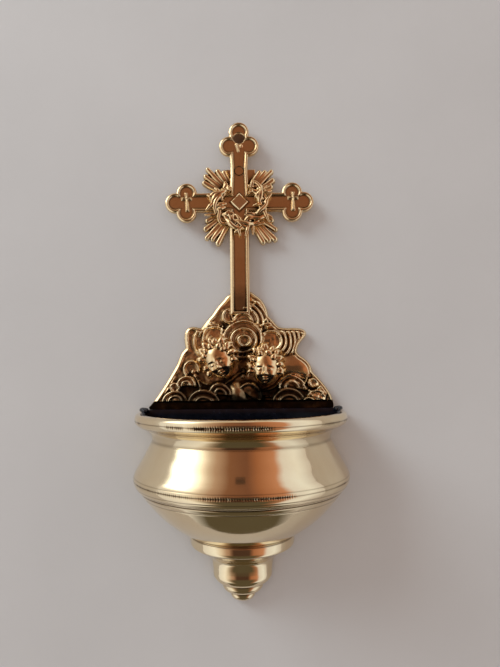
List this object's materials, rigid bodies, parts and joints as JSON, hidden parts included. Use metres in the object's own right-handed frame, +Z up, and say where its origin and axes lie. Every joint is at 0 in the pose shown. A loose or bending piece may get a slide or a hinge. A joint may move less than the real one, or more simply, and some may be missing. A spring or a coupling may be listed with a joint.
{
  "type": "holy water stoup",
  "caption": "Wall-hung brass holy water stoup: a cross with rays and crown over a cloud plate with cherub heads, a turned half-round bowl and a lift-out liner.",
  "frame": {"origin": "centre of the hang hole, on the back face of the cross", "axes": "+Z up along the cross, +X to the viewer's right, +Y into the wall"},
  "size_m": [0.0972, 0.0498, 0.2204],
  "materials": {
    "cast_brass": "cast, polished on the high places and toned brown in the hollows",
    "turned_brass": "turned and polished",
    "sheet_brass": "rolled sheet, dull",
    "brass_fixings": "plain turned",
    "blue_liner": "glossy, very dark blue"
  },
  "bodies": {
    "stoup": {"cross": "cast_brass", "glory_rays": "cast_brass", "thorn_crown": "cast_brass", "lozenge_rivet": "cast_brass", "upper_pin": "brass_fixings", "foot_rivets": "brass_fixings", "cloud_plate": "cast_brass", "cherub_head_left": "cast_brass", "cherub_head_right": "cast_brass", "plate_rivets": "brass_fixings", "bowl_back": "sheet_brass", "bowl_shell": "turned_brass", "back_screws": "brass_fixings", "finial": "turned_brass", "finial_stud": "brass_fixings", "finial_nut": "brass_fixings"},
    "liner": {"liner": "blue_liner"}
  },
  "joints": [
    {"name": "liner_lift", "type": "slide", "parent": "stoup", "child": "liner", "axis": [0, -0.2756, 0.9613], "range_m": [0, 0.046]}
  ]
}
